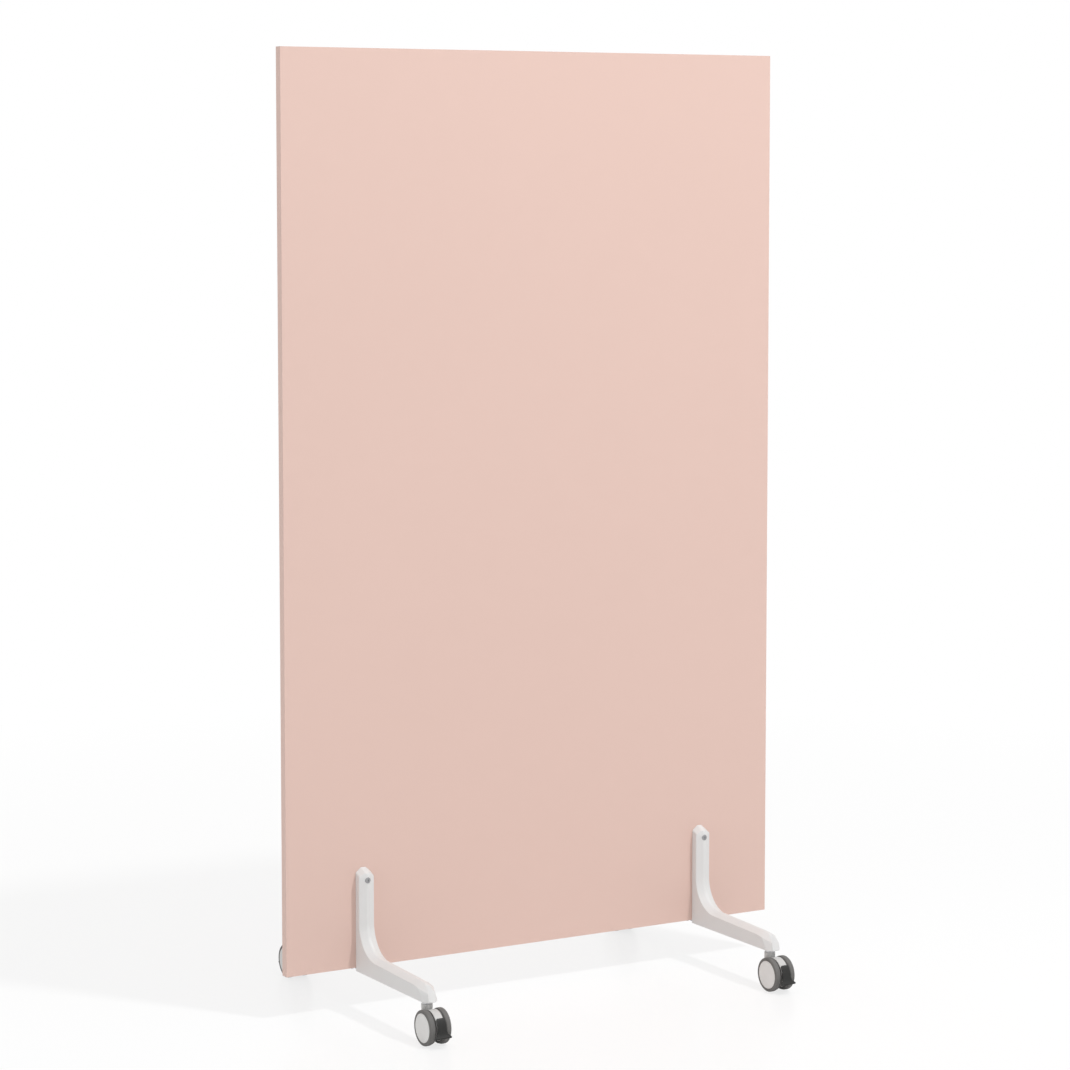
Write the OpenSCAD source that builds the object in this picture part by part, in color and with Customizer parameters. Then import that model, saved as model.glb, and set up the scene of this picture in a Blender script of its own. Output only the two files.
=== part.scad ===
// Rolling partition: a tall flat board standing upright on four cast feet with twin-wheel casters.
// +X runs along the board, -Y is the front, +Z is up, and the origin is on the floor
// under the middle of the board.

/* [Board] */
// Width of the board
board_w = 1016; // [700:1:1400]
// Height of the board
board_h = 1626; // [1000:1:1900]
// Thickness of the board over both face sheets
board_t = 17; // [15:0.5:22]
// Thickness of each face sheet
sheet_t = 1; // [0.6:0.1:1.6]
// Thickness of the band glued round the edges
band_t = 1; // [0.6:0.1:2]

/* [Feet] */
// Centre of each foot, in from the end of the board
foot_inset = 151.5; // [60:0.5:300]
// Width of a foot
foot_w = 30; // [28:0.5:34]
// Width of the narrow flat along the crown
crown_w = 5; // [4:0.5:8]
// Rise of the crown above the side faces
crown_h = 6.5; // [4:0.5:8]
// Depth of the upright's side faces
upright_t = 13.5; // [12:0.5:16]
// Height of the upright above the lower edge of the board
upright_h = 181; // [150:1:220]
// Radius of the bend between upright and foot, on the side faces
bend_r = 60; // [50:1:75]
// Height of the side face where the bend ends
root_h = 28.5; // [27:0.5:32]
// Slope of the foot's top towards its tip, in degrees
foot_slope = 1.7; // [1:0.1:2]
// From the board's face to the caster stem
stem_out = 238; // [200:1:300]
// From the caster stem to the tip of the foot
tip_out = 20; // [19:0.5:26]
// How far the feet reach below the board
foot_drop = 6; // [5:0.5:8]
// Thickness of the cast walls
wall_t = 4; // [3:0.5:5]
// Number of cross ribs under each foot
rib_count = 4; // [2:1:6]

/* [Fasteners] */
// Diameter of the heads of the screws that clamp a pair of feet
clamp_head_d = 10.6; // [9.5:0.1:12]
// Depth of those screws below the top of the upright
clamp_drop = 21; // [19:1:30]
// Diameter of the sleeve that the clamp screw runs into
sleeve_d = 9; // [8.5:0.1:9.5]
// Thickness of the tie plate under the board
tie_t = 4; // [3:0.5:4.5]

/* [Casters] */
// Diameter of the wheels over the treads
wheel_d = 62; // [60:1:66]
// Width of one wheel
wheel_w = 13.7; // [12.5:0.1:14.5]
// Width of a caster over both wheels
caster_w = 42.7; // [42:0.1:46]
// From the swivel axis to the wheel axle
trail = 21; // [19:0.5:22]
// From the top of the wheels to the underside of the foot
neck_h = 10.5; // [9.5:0.5:14]
// Diameter of the caps on the wheels
cap_d = 50.6; // [48:0.1:52]
// Diameter of the swivel barrel
barrel_d = 20; // [18:0.5:21]
// Diameter of the stem in the foot
stem_d = 11; // [10:0.5:12]
// Diameter of the wheel axle
axle_d = 6; // [5:0.5:7]
// Half width of the brake pedal over its wings
wing_reach = 16.5; // [13:0.5:19]

/* [Hidden] */
$fn = 64;

blush = [0.90, 0.79, 0.75];
blush_edge = [0.74, 0.65, 0.61];
chipboard = [0.76, 0.66, 0.50];
cast_grey = [0.84, 0.83, 0.82];
zinc = [0.60, 0.60, 0.60];
light_plastic = [0.83, 0.82, 0.80];
tread_grey = [0.40, 0.40, 0.39];
black = [0.16, 0.16, 0.16];

left = -1;
right = 1;
front = 1;
rear = 0;

// Fits: a loose hole, a turning fit, and the air beside parts that move past each other
loose = 0.2;
turning = 0.05;
air = 0.35;
// How far cutters run past the faces that they open
over = 1;

// Board and feet
core_t = board_t - 2 * sheet_t;
wheel_r = wheel_d / 2;
foot_z = wheel_d + neck_h;
board_z = foot_z + foot_drop;
foot_x = board_w / 2 - foot_inset;
face_y = board_t / 2;
swivel_y = face_y + stem_out;

// Side profile of a foot: y runs out from the board's face, z up from the foot's underside.
// The upright's face and the foot's top both touch the bend's circle.
upright_top = foot_drop + upright_h;
bend_y = upright_t + bend_r;
bend_z = root_h + bend_r * cos(foot_slope);
bend_end_y = bend_y - bend_r * sin(foot_slope);
bend_steps = 8;
foot_half = foot_w / 2;
crown_half = crown_w / 2;
// The upper end of the casting is a blunt point, whose slopes turn down into the sides and fall
// a little towards the front
peak_h = 10;
peak_half = 4.5;
peak_lean = 1.5;
peak_turn = 1;
peak_fall = 0.15;
// The tip: its end face leans back, a slant runs from it up to the crown, and its corners are cut off
foot_end = stem_out + tip_out;
tip_half = foot_half - 7;
tip_face_h = 14.5;
tip_lean = 1.5;
tip_crown_end = foot_end - 17;
side_end = foot_end - 9;
slant_end = foot_end - 23;

// Clamp screw: its head sits in a counterbore in the crown
clamp_z = foot_z + upright_top - clamp_drop;
crown_y = upright_t + crown_h;
clamp_seat = 2.6;
clamp_head_t = 2.3;
clamp_d = 6;
clamp_web = 4;
sleeve_gap = 0.6;

// Tie plate under the board, held by two screws in each foot
tie_half = foot_half - wall_t - loose;
tie_reach = 30;
tie_screw_d = 4.8;
tie_screw_head = 8.6;
tie_screw_l = 13;
tie_screw_at = [9, 21];
tie_head_t = min(2, foot_drop - tie_t);

// Cast pockets in the underside
pocket_half = foot_half - wall_t;
pocket_start = tie_reach + 6;
boss_r = stem_d / 2 + 5;
pocket_end = stem_out - boss_r - 1;
rib_t = 2.5;
cell_l = (pocket_end - pocket_start - (rib_count - 1) * rib_t) / rib_count;
roof_t = wall_t + 1;

// Caster: y runs out from the swivel axis and the wheels trail outwards
axle_z = wheel_r;
wheel_in = caster_w / 2 - wheel_w;
hood_half = wheel_in - air;
hood_r = wheel_r - 1.5;
collar_d = barrel_d - 3.6;
collar_h = 5;
socket_l = 20;
barrel_top = foot_z - collar_h - air;
barrel_r = barrel_d / 2;
journal_d = stem_d - 3;
journal_l = 20;
// The barrel's skirt stops above the wheels, where they pass closest to it
skirt_y = trail - sqrt(pow(barrel_r, 2) - pow(wheel_in, 2));
skirt_z = axle_z + sqrt(pow(wheel_r, 2) - pow(skirt_y, 2)) + 1;

// Wheel: heights run out from the middle of the caster
cap_r = cap_d / 2;
rim_r = cap_r + 0.3;
rim_t = 2.4;
hub_r = axle_d / 2 + 3;
wheel_out = caster_w / 2;
cap_edge = wheel_out - 0.7;
cap_t = 1.6;
rim_out = cap_edge - cap_t;
web_in = wheel_in + 5;
web_t = 2;
tread_round = 2.6;
hub_out = rim_out - 1;
wheel_ribs = 8;

// Brake pedal: it turns on a pin between the cheeks of the hood
pin_y = 17;
pin_z = 9;
pin_d = 3;
pin_hub_r = 3.8;
mouth_half = hood_half - 2.4;
arm_half = mouth_half - air;
pedal_half = wheel_in - 0.6;
// The pedal's outline is drawn for this wheel radius and moves out with the wheel
pedal_wheel_r = 31;

function arc(r, a0, a1, n) = [
    for (i = [0 : n]) let (a = a0 + (a1 - a0) * i / n) r * [cos(a), sin(a)]
];
function shifted(points, by) = [for (p = points) p + by];

// ---- Board ----

module board_block(w, t, h, lift) {
    translate([-w / 2, -t / 2, board_z + lift])
        cube([w, t, h]);
}

// Holes for the sleeves of both clamps
module clamp_holes(d) {
    for (side = [left, right])
        translate([side * foot_x, 0, clamp_z])
            rotate([90, 0, 0])
                cylinder(d = d, h = 4 * board_t, center = true);
}

module board_core() {
    color(chipboard)
        difference() {
            board_block(board_w - 2 * band_t, core_t, board_h - 2 * band_t, band_t);
            clamp_holes(sleeve_d + 2 * loose);
        }
}

module face_sheet(facing) {
    color(blush)
        difference() {
            translate([0, facing * (board_t - sheet_t) / 2, 0])
                board_block(board_w, sheet_t, board_h, 0);
            clamp_holes(sleeve_d + 2 * loose);
        }
}

module side_band(side) {
    color(blush_edge)
        translate([side * (board_w - band_t) / 2, 0, 0])
            board_block(band_t, core_t, board_h - 2 * band_t, band_t);
}

module end_band(lift) {
    color(blush_edge)
        board_block(board_w, core_t, band_t, lift);
}

// ---- Feet ----

// A ring of the casting: its point on the back or underside, on the side face and on the crown,
// then half its width at the side faces and at the crown
function peak_ring(half, z, lean) = let (
        side_y = crown_y - crown_h * (half - crown_half) / (foot_half - crown_half)
    ) [
        [0, z], [side_y - lean, z - side_y * peak_fall], [crown_y - lean, z - crown_y * peak_fall],
        half, crown_half
    ];

function bend_back(i) = i < bend_steps / 2
    ? [0, bend_z * (1 - 2 * i / bend_steps)]
    : [(bend_end_y - root_h * tan(foot_slope)) * (2 * i / bend_steps - 1), 0];

function bend_ring(i) = let (
        a = 180 + (90 - foot_slope) * i / bend_steps,
        dir = [cos(a), sin(a)],
        middle = [bend_y, bend_z]
    ) [bend_back(i), middle + bend_r * dir, middle + (bend_r - crown_h) * dir, foot_half, crown_half];

function foot_top(y) = root_h - (y - bend_end_y) * tan(foot_slope);

foot_rings = concat(
    [
        peak_ring(peak_half, upright_top, peak_lean),
        peak_ring(foot_half - peak_turn, upright_top - peak_h + 2 * peak_turn, 0),
        peak_ring(foot_half, upright_top - peak_h, 0)
    ],
    [for (i = [0 : bend_steps]) bend_ring(i)],
    [
        [[side_end, 0], [slant_end, foot_top(slant_end)],
            [slant_end + 1, foot_top(slant_end) + crown_h - 0.5], foot_half, crown_half],
        [[foot_end, 0], [foot_end - tip_lean, tip_face_h],
            [tip_crown_end, foot_top(slant_end) + 3], tip_half, crown_half + 1]
    ]
);

// Corners of a ring, going round from the back's left corner over the crown
function ring_corners(r) = [
    [-r[3], r[0][0], r[0][1]], [-r[3], r[1][0], r[1][1]], [-r[4], r[2][0], r[2][1]],
    [r[4], r[2][0], r[2][1]], [r[3], r[1][0], r[1][1]], [r[3], r[0][0], r[0][1]]
];

// The bevelled bar that bends from upright to foot, before it is cored and drilled
module foot_blank() {
    sides = 6;
    last = len(foot_rings) - 1;
    corners = [for (r = foot_rings) each ring_corners(r)];
    walls = [for (i = [0 : last - 1], j = [0 : sides - 1])
        let (a = i * sides + j, b = i * sides + (j + 1) % sides)
            each [[a, a + sides, b + sides], [a, b + sides, b]]];
    base = last * sides;
    caps = [
        [0, 1, 4], [0, 4, 5], [1, 2, 3], [1, 3, 4],
        [base, base + 4, base + 1], [base, base + 5, base + 4],
        [base + 1, base + 3, base + 2], [base + 1, base + 4, base + 3]
    ];
    polyhedron(points = corners, faces = concat(walls, caps));
}

// Cored cells under the foot, with a cross rib between each two
module foot_cells() {
    for (i = [0 : rib_count - 1]) {
        y0 = pocket_start + i * (cell_l + rib_t);
        y1 = y0 + cell_l;
        translate([-pocket_half, 0, 0])
            rotate([90, 0, 90])
                linear_extrude(2 * pocket_half)
                    polygon([
                        [y0, -over], [y0, foot_top(y0) - roof_t],
                        [y1, foot_top(y1) - roof_t], [y1, -over]
                    ]);
    }
}

module foot_bores() {
    clamp_h = upright_top - clamp_drop;
    seat_y = crown_y - clamp_seat;
    translate([0, seat_y, clamp_h])
        rotate([-90, 0, 0])
            cylinder(d = clamp_head_d + 2 * loose, h = clamp_seat + over);
    translate([0, -over, clamp_h])
        rotate([-90, 0, 0])
            cylinder(d = clamp_d + 2 * loose, h = seat_y + 2 * over);
    translate([0, -over, clamp_h])
        rotate([-90, 0, 0])
            cylinder(d = sleeve_d + 2 * loose, h = seat_y - clamp_web + over);
    translate([0, stem_out, -over])
        cylinder(d = stem_d, h = socket_l + over);
    for (y = tie_screw_at)
        translate([0, y, 0])
            cylinder(d = tie_screw_d, h = foot_drop + tie_screw_l);
}

// Seat for the tie plate, open at the back and underneath
module tie_seat() {
    translate([-pocket_half, -over, -over])
        cube([2 * pocket_half, tie_reach + over + loose, foot_drop + over]);
}

module foot() {
    color(cast_grey)
        difference() {
            foot_blank();
            foot_cells();
            tie_seat();
            foot_bores();
        }
}

// Puts a piece drawn outwards from the board's rear face at one of the four corners
module at_corner(side, facing) {
    translate([side * foot_x, 0, 0])
        mirror([0, facing, 0])
            translate([0, face_y, 0])
                children();
}

module foot_at(side, facing) {
    at_corner(side, facing)
        translate([0, 0, foot_z])
            foot();
}

// Flat bar that joins a front foot to the rear foot behind it, under the board
module tie_plate(side) {
    reach = face_y + tie_reach;
    color(zinc)
        translate([side * foot_x, 0, board_z - tie_t])
            difference() {
                translate([-tie_half, -reach, 0])
                    cube([2 * tie_half, 2 * reach, tie_t]);
                for (facing = [-1, 1], y = tie_screw_at)
                    translate([0, facing * (face_y + y), -over])
                        cylinder(d = tie_screw_d + 2 * loose, h = tie_t + 2 * over);
            }
}

// Pan-head screw, pointing up from the underside of the tie plate
module tie_screw() {
    tip_h = 1.5;
    shank = tie_t + tie_screw_l - 2;
    translate([0, 0, -tie_head_t])
        cylinder(d = tie_screw_head, h = tie_head_t);
    cylinder(d = tie_screw_d, h = shank - tip_h);
    translate([0, 0, shank - tip_h])
        cylinder(d1 = tie_screw_d, d2 = tie_screw_d / 2, h = tip_h);
}

module tie_screws() {
    color(zinc)
        for (side = [left, right], facing = [front, rear], y = tie_screw_at)
            at_corner(side, facing)
                translate([0, y, board_z - tie_t])
                    tie_screw();
}

// Round head with a rim chamfer and a hexagon socket, its seat at z = 0
module clamp_head() {
    rim = 0.5;
    socket_w = 4.6;
    socket_deep = 1.4;
    difference() {
        union() {
            cylinder(d = clamp_head_d, h = clamp_head_t - rim);
            translate([0, 0, clamp_head_t - rim])
                cylinder(d1 = clamp_head_d, d2 = clamp_head_d - 2 * rim, h = rim);
        }
        translate([0, 0, clamp_head_t - socket_deep])
            cylinder(d = socket_w, h = socket_deep + over, $fn = 6);
    }
}

module at_clamp(side, facing) {
    at_corner(side, facing)
        translate([0, crown_y - clamp_seat, clamp_z])
            rotate([-90, 0, 0])
                children();
}

module clamp_screws() {
    shank = crown_y - clamp_seat + board_t;
    color(zinc)
        for (side = [left, right])
            at_clamp(side, front) {
                clamp_head();
                translate([0, 0, -shank])
                    cylinder(d = clamp_d, h = shank);
            }
}

// Sleeve with the same head, put in from behind and reaching through the board
module sleeve_nuts() {
    seat = crown_y - clamp_seat;
    barrel = 2 * seat + board_t - clamp_web - sleeve_gap;
    wide_from = clamp_web + sleeve_gap;
    color(zinc)
        for (side = [left, right])
            at_clamp(side, rear)
                difference() {
                    union() {
                        clamp_head();
                        translate([0, 0, -barrel])
                            cylinder(d = clamp_d, h = barrel);
                        translate([0, 0, -barrel])
                            cylinder(d = sleeve_d, h = barrel - wide_from);
                    }
                    translate([0, 0, -barrel - over])
                        cylinder(d = clamp_d, h = barrel - seat + 2 * over);
                }
}

// ---- Casters ----

// Puts a piece drawn round the swivel axis, trailing towards +Y, under one of the feet
module at_swivel(side, facing) {
    translate([side * foot_x, 0, 0])
        rotate([0, 0, facing * 180])
            translate([0, swivel_y, 0])
                children();
}

// Wheel side a is the outer wheel on the left casters and the inner one on the right casters
module at_wheel(side, facing, hand) {
    turned = facing == front ? -hand : hand;
    at_swivel(side, facing)
        translate([0, trail, axle_z])
            rotate([0, turned * 90, 0])
                children();
}

module stem(side, facing) {
    lip = 0.6;
    color(zinc)
        at_swivel(side, facing)
            translate([0, 0, foot_z]) {
                cylinder(d = stem_d, h = socket_l - 1);
                translate([0, 0, socket_l - 1])
                    cylinder(d1 = stem_d, d2 = stem_d - 2, h = 1);
                translate([0, 0, -collar_h])
                    cylinder(d = collar_d, h = collar_h);
                translate([0, 0, -collar_h - journal_l])
                    cylinder(d = journal_d, h = journal_l);
                translate([0, 0, -collar_h])
                    cylinder(d = collar_d + 2 * lip, h = 2 * lip);
            }
}

// Side outline of the hood, drawn round the axle: a round shield over the gap between the wheels,
// cut off below, and cut back in front behind the pedal
module hood_outline() {
    low_back = -9;
    low_front = -13;
    intersection() {
        circle(r = hood_r, $fn = 96);
        polygon([
            [-wheel_d, low_back], [hood_r - 7.5, low_front], [hood_r - 1, 7.5],
            [wheel_d, wheel_d], [-wheel_d, wheel_d]
        ]);
    }
}

// Round neck from the swivel barrel down into the shield, its sides cut flat beside the wheels
module hood_neck() {
    neck_z = axle_z + 4;
    foot_r = barrel_r - 2;
    intersection() {
        union() {
            translate([0, 0, neck_z])
                cylinder(r = barrel_r, h = skirt_z - neck_z + 0.5);
            translate([0, 0, axle_z - 6])
                cylinder(r1 = foot_r, r2 = barrel_r, h = neck_z - axle_z + 6);
        }
        translate([-hood_half, -barrel_d, 0])
            cube([2 * hood_half, 2 * barrel_d, foot_z]);
    }
}

// Room for the pedal's arm, open to the front and below
module pedal_mouth() {
    polygon([
        [11, -wheel_d], [11, 1], [12.5, 4], [12.5, 13], [16, 16], [wheel_d, 16], [wheel_d, -wheel_d]
    ]);
}

module hood(side, facing) {
    color(light_plastic)
        at_swivel(side, facing)
            difference() {
                union() {
                    translate([-hood_half, trail, axle_z])
                        rotate([90, 0, 90])
                            linear_extrude(2 * hood_half)
                                hood_outline();
                    hood_neck();
                    translate([0, 0, skirt_z])
                        cylinder(r = barrel_r, h = barrel_top - skirt_z);
                }
                translate([-mouth_half, trail, axle_z])
                    rotate([90, 0, 90])
                        linear_extrude(2 * mouth_half)
                            pedal_mouth();
                translate([0, 0, foot_z - collar_h - journal_l - 2 * air])
                    cylinder(d = journal_d + 2 * turning, h = journal_l + collar_h);
                translate([0, trail, axle_z])
                    rotate([0, 90, 0])
                        cylinder(d = axle_d, h = 2 * caster_w, center = true);
                translate([0, trail + pin_y, axle_z + pin_z])
                    rotate([0, 90, 0])
                        cylinder(d = pin_d, h = 2 * caster_w, center = true);
            }
}

module axle(side, facing) {
    reach = hub_out + 0.8;
    color(zinc)
        at_swivel(side, facing)
            translate([0, trail, axle_z])
                rotate([0, 90, 0])
                    cylinder(d = axle_d, h = 2 * reach, center = true);
}

// Wheel core: hub, web and rim, with ribs on the side that faces the hood
module wheel_core() {
    bore_r = axle_d / 2 + turning;
    rotate_extrude()
        polygon([
            [bore_r, wheel_in], [hub_r, wheel_in], [hub_r, web_in], [rim_r - rim_t, web_in],
            [rim_r - rim_t, wheel_in + 0.5], [rim_r, wheel_in + 0.5], [rim_r, rim_out],
            [rim_r - rim_t, rim_out], [rim_r - rim_t, web_in + web_t], [hub_r, web_in + web_t],
            [hub_r, hub_out], [bore_r, hub_out]
        ]);
    rib_in = hub_r - 0.5;
    rib_l = rim_r - rim_t - rib_in + 0.5;
    for (i = [0 : wheel_ribs - 1])
        rotate([0, 0, i * 360 / wheel_ribs])
            translate([rib_in, -0.7, wheel_in + 1.2])
                cube([rib_l, 1.4, web_in - wheel_in - 1]);
}

module wheel(side, facing, hand) {
    color(light_plastic)
        at_wheel(side, facing, hand)
            wheel_core();
}

// Tyre with round shoulders; its outer lip closes down to the cap
module tread(side, facing, hand) {
    lip_r = cap_r + 0.15;
    inner = shifted(arc(tread_round, -90, 0, 4), [wheel_r - tread_round, wheel_in + tread_round]);
    outer = shifted(arc(tread_round, 0, 90, 4), [wheel_r - tread_round, cap_edge - tread_round]);
    color(tread_grey)
        at_wheel(side, facing, hand)
            rotate_extrude($fn = 96)
                polygon(concat(
                    [[rim_r, wheel_in]], inner, outer,
                    [[lip_r, cap_edge], [lip_r, rim_out], [rim_r, rim_out]]
                ));
}

// Snap-on cap, a little domed, with a skirt inside the rim
module cap(side, facing, hand) {
    skirt_r = rim_r - rim_t - 0.1;
    skirt_l = 3;
    dome = wheel_out - cap_edge;
    color(light_plastic)
        at_wheel(side, facing, hand)
            rotate_extrude($fn = 96)
                polygon([
                    [0, rim_out], [skirt_r - 1.2, rim_out], [skirt_r - 1.2, rim_out - skirt_l],
                    [skirt_r, rim_out - skirt_l], [skirt_r, rim_out], [cap_r, rim_out],
                    [cap_r, cap_edge - 0.3], [cap_r - 0.6, cap_edge + 0.1],
                    [cap_r * 0.7, wheel_out - dome * 0.35], [cap_r * 0.35, wheel_out - dome * 0.08],
                    [0, wheel_out]
                ]);
}

// Side outline of the pedal plate, drawn round the axle, from its top edge down to the toe
module pedal_plate_outline() {
    polygon([
        [24.7, 19.8], [25.4, 20.6], [26.8, 20.1], [28.4, 18.1], [30, 15.2], [31.9, 11.1], [34.3, 3],
        [35.8, -3], [37.3, -7.2], [39.7, -10.8], [39.6, -12.6], [37.4, -12.4], [34.9, -8.6],
        [34, -4], [32.9, 2], [30.9, 8], [28.2, 14], [25.6, 18.2]
    ]);
}

// Side outline of the pedal's body behind the plate, which fills the gap between the wheels
module pedal_body_outline() {
    polygon([
        [30, 9.4], [31, 9.6], [34, 0], [35.2, -6], [36.3, -10], [34.6, -10.8], [31.6, -9.2],
        [29.8, -7], [29.3, -4.6], [29.6, -1.8], [30.2, 1.6], [30.5, 6]
    ]);
}

// Front outline of the pedal, narrow between the wheels and flaring out to the wings
module pedal_front_outline() {
    half = [
        [pedal_half - 0.6, 21], [pedal_half + 0.8, 19], [pedal_half + 0.9, 5], [pedal_half + 2.2, -2],
        [pedal_half + 3.4, -5], [wing_reach - 1, -8.6], [wing_reach, -10], [wing_reach - 1, -13.5]
    ];
    polygon(concat(half, [for (i = [len(half) - 1 : -1 : 0]) [-half[i][0], half[i][1]]]));
}

// Arm from the plate back to the pin; the plate stands this far out
module pedal_arm_outline(out) {
    polygon([
        [30 + out, 11], [pin_y, pin_z + pin_hub_r], [pin_y - 1, pin_z - pin_hub_r],
        [34.4 + out, -2.6], [34.2 + out, 0]
    ]);
    translate([pin_y, pin_z])
        circle(r = pin_hub_r);
}

module pedal(side, facing) {
    out = wheel_r - pedal_wheel_r;
    color(black)
        at_swivel(side, facing)
            translate([0, trail, axle_z])
                difference() {
                    union() {
                        translate([0, out, 0])
                            intersection() {
                                translate([-wing_reach - over, 0, 0])
                                    rotate([90, 0, 90])
                                        linear_extrude(2 * (wing_reach + over))
                                            pedal_plate_outline();
                                rotate([90, 0, 0])
                                    translate([0, 0, -2 * wheel_r])
                                        linear_extrude(2 * wheel_r)
                                            pedal_front_outline();
                            }
                        translate([-pedal_half, out, 0])
                            rotate([90, 0, 90])
                                linear_extrude(2 * pedal_half)
                                    pedal_body_outline();
                        translate([-arm_half, 0, 0])
                            rotate([90, 0, 90])
                                linear_extrude(2 * arm_half)
                                    pedal_arm_outline(out);
                    }
                    translate([0, pin_y, pin_z])
                        rotate([0, 90, 0])
                            cylinder(d = pin_d + 2 * turning, h = caster_w, center = true);
                }
}

module pedal_pin(side, facing) {
    color(zinc)
        at_swivel(side, facing)
            translate([0, trail + pin_y, axle_z + pin_z])
                rotate([0, 90, 0])
                    cylinder(d = pin_d, h = 2 * hood_half - 0.4, center = true);
}

board_core();
face_sheet(-1);  // front_face_sheet
face_sheet(1);  // rear_face_sheet
side_band(left);  // left_edge_band
side_band(right);  // right_edge_band
end_band(board_h - band_t);  // top_edge_band
end_band(0);  // bottom_edge_band
foot_at(left, front);  // front_left_foot
foot_at(right, front);  // front_right_foot
foot_at(left, rear);  // rear_left_foot
foot_at(right, rear);  // rear_right_foot
tie_plate(left);  // left_tie_plate
tie_plate(right);  // right_tie_plate
tie_screws();
clamp_screws();
sleeve_nuts();
stem(left, front);  // front_left_stem
hood(left, front);  // front_left_hood
axle(left, front);  // front_left_axle
wheel(left, front, left);  // front_left_wheel_a
tread(left, front, left);  // front_left_tread_a
cap(left, front, left);  // front_left_cap_a
wheel(left, front, right);  // front_left_wheel_b
tread(left, front, right);  // front_left_tread_b
cap(left, front, right);  // front_left_cap_b
pedal(left, front);  // front_left_pedal
pedal_pin(left, front);  // front_left_pedal_pin
stem(right, front);  // front_right_stem
hood(right, front);  // front_right_hood
axle(right, front);  // front_right_axle
wheel(right, front, left);  // front_right_wheel_a
tread(right, front, left);  // front_right_tread_a
cap(right, front, left);  // front_right_cap_a
wheel(right, front, right);  // front_right_wheel_b
tread(right, front, right);  // front_right_tread_b
cap(right, front, right);  // front_right_cap_b
pedal(right, front);  // front_right_pedal
pedal_pin(right, front);  // front_right_pedal_pin
stem(left, rear);  // rear_left_stem
hood(left, rear);  // rear_left_hood
axle(left, rear);  // rear_left_axle
wheel(left, rear, left);  // rear_left_wheel_a
tread(left, rear, left);  // rear_left_tread_a
cap(left, rear, left);  // rear_left_cap_a
wheel(left, rear, right);  // rear_left_wheel_b
tread(left, rear, right);  // rear_left_tread_b
cap(left, rear, right);  // rear_left_cap_b
pedal(left, rear);  // rear_left_pedal
pedal_pin(left, rear);  // rear_left_pedal_pin
stem(right, rear);  // rear_right_stem
hood(right, rear);  // rear_right_hood
axle(right, rear);  // rear_right_axle
wheel(right, rear, left);  // rear_right_wheel_a
tread(right, rear, left);  // rear_right_tread_a
cap(right, rear, left);  // rear_right_cap_a
wheel(right, rear, right);  // rear_right_wheel_b
tread(right, rear, right);  // rear_right_tread_b
cap(right, rear, right);  // rear_right_cap_b
pedal(right, rear);  // rear_right_pedal
pedal_pin(right, rear);  // rear_right_pedal_pin
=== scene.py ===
import math

import bmesh
import bpy
from mathutils import Matrix, Vector


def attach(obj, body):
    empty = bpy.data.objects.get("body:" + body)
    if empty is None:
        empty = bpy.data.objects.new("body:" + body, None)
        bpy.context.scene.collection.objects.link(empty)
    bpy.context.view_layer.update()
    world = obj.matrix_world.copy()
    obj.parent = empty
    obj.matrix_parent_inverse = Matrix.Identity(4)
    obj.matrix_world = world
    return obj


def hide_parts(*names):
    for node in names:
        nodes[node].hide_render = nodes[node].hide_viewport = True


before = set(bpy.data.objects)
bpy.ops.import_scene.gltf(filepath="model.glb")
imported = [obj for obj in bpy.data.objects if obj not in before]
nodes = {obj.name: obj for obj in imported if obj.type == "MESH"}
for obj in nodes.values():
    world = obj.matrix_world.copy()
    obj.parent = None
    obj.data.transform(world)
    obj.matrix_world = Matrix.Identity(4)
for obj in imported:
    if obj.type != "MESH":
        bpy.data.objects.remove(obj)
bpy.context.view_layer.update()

# ---- Board core ----
# The core is a slab of raw particle board, cut square and bored through for the two clamps.
# It is wrapped on every side, so its chips show only inside the bores.


def new_finish(name, colour, roughness, metallic=0.0):
    """A new material and its Principled shader."""
    finish = bpy.data.materials.new(name)
    finish.use_nodes = True
    shader = finish.node_tree.nodes["Principled BSDF"]
    shader.inputs["Base Color"].default_value = (*colour, 1)
    shader.inputs["Roughness"].default_value = roughness
    shader.inputs["Metallic"].default_value = metallic
    return finish, shader


def feed(finish, node, **sockets):
    """Each keyword names an input socket and gives a value or another node's output."""
    for key, value in sockets.items():
        feed_socket(finish, node.inputs[key.replace("_", " ")], value)


def feed_socket(finish, socket, value):
    if isinstance(value, bpy.types.NodeSocket):
        finish.node_tree.links.new(value, socket)
    else:
        socket.default_value = value


def add_node(finish, kind, settings=None, **sockets):
    node = finish.node_tree.nodes.new(kind)
    for key, value in (settings or {}).items():
        setattr(node, key, value)
    feed(finish, node, **sockets)
    return node


def reckon(finish, operation, *values):
    """Output of a Math node whose inputs are the values, in their order."""
    node = add_node(finish, "ShaderNodeMath", {"operation": operation})
    for socket, value in zip(node.inputs, values):
        feed_socket(finish, socket, value)
    return node.outputs[0]


def object_place(finish):
    return add_node(finish, "ShaderNodeTexCoord").outputs["Object"]


def noise(finish, place, scale, detail=3.0, roughness=0.5):
    node = add_node(
        finish, "ShaderNodeTexNoise", Vector=place, Scale=scale, Detail=detail, Roughness=roughness
    )
    return node.outputs["Fac"]


def spread(finish, value, low, high, start=0.3, end=0.7):
    """Maps a noise value onto the range from low to high."""
    node = add_node(
        finish, "ShaderNodeMapRange", Value=value, From_Min=start, From_Max=end,
        To_Min=low, To_Max=high,
    )
    return node.outputs["Result"]


def two_tones(finish, value, dark, light):
    """Colour that runs from dark to light with the value."""
    node = add_node(finish, "ShaderNodeMix", {"data_type": "RGBA"})
    finish.node_tree.links.new(value, node.inputs[0])
    node.inputs[6].default_value = (*dark, 1)
    node.inputs[7].default_value = (*light, 1)
    return node.outputs[2]


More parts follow.
